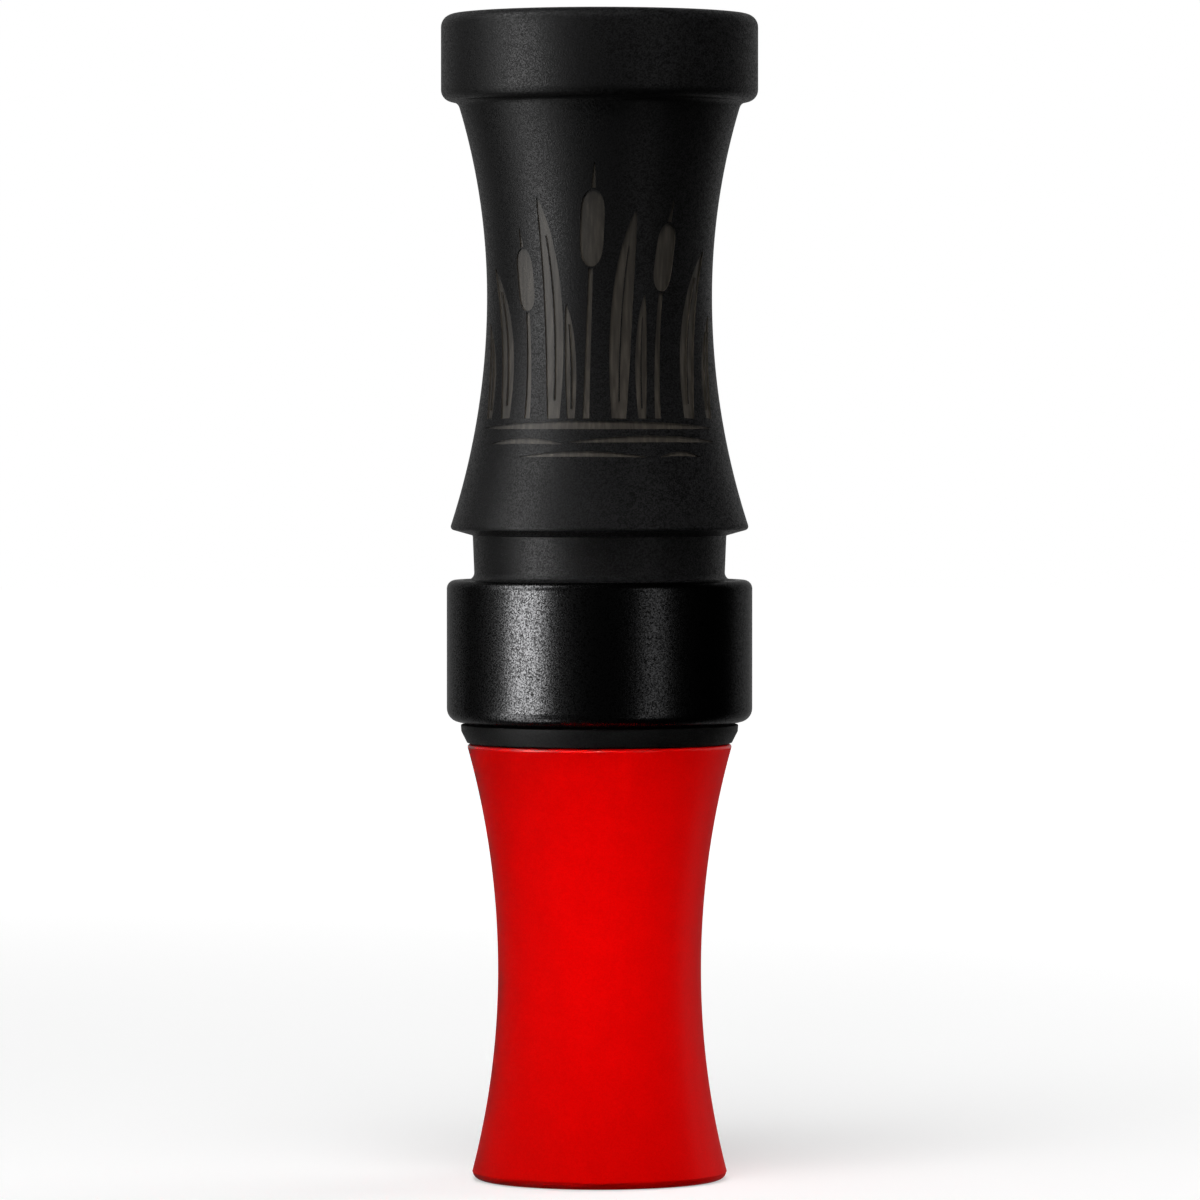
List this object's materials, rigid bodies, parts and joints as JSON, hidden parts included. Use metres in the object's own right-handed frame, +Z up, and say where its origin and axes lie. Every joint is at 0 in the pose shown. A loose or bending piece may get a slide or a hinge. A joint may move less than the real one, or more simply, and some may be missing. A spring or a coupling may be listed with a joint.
{
  "type": "duck call",
  "caption": "Slim double-reed duck call: waisted black barrel with a banded lanyard groove, over an insert with a flared red exhaust bell.",
  "frame": {"origin": "centre of the bell's end face, which the call stands on", "axes": "+Z up the call's axis from the bell to the mouthpiece; -Y towards the side the reeds and the etched motif face; +X to the right of a viewer of that side"},
  "size_m": [0.0346, 0.0346, 0.127],
  "materials": {
    "barrel_black": "satin black with a fine grain, laser-etched marsh motif on the front",
    "band_black": "bead-blasted, black anodised",
    "stopper_black": "satin black",
    "bell_red": "satin red, coloured through",
    "ring_rubber": "black nitrile rubber, lightly greased",
    "board_ivory": "moulded ivory plastic, sanded face",
    "reed_film": "translucent polyester film",
    "wedge_cork": "cut cork"
  },
  "bodies": {
    "insert": {"insert_stopper": "stopper_black", "exhaust_bell": "bell_red", "tone_board": "board_ivory"},
    "seals": {"o_ring_lower": "ring_rubber", "o_ring_upper": "ring_rubber"},
    "barrel": {"barrel": "barrel_black", "barrel_band": "band_black"},
    "wedge": {"reed_wedge": "wedge_cork"},
    "lower_reed": {"lower_reed": "reed_film"},
    "upper_reed": {"upper_reed": "reed_film"}
  },
  "joints": [
    {"name": "barrel_turn", "type": "hinge", "parent": "insert", "child": "seals", "pos_m": [0, 0, 0.0579], "axis": [0, 0, 1], "continuous": true},
    {"name": "barrel_pull", "type": "slide", "parent": "seals", "child": "barrel", "axis": [0, 0, 1], "range_m": [0, 0.055]},
    {"name": "wedge_pull", "type": "slide", "parent": "insert", "child": "wedge", "axis": [0, 0, 1], "range_m": [0, 0.012]},
    {"name": "lower_reed_flex", "type": "hinge", "parent": "insert", "child": "lower_reed", "pos_m": [0, -0.00055, 0.0715], "axis": [-1, 0, 0], "range_deg": [-0.4, 1.2], "stiffness_Nm_per_rad": 0.005},
    {"name": "upper_reed_flex", "type": "hinge", "parent": "insert", "child": "upper_reed", "pos_m": [0, -0.00092, 0.0715], "axis": [-1, 0, 0], "range_deg": [-0.4, 1.2], "stiffness_Nm_per_rad": 0.005}
  ],
  "couplings": [
    {"joint": "upper_reed_flex", "follows": "lower_reed_flex", "ratio": 1}
  ]
}
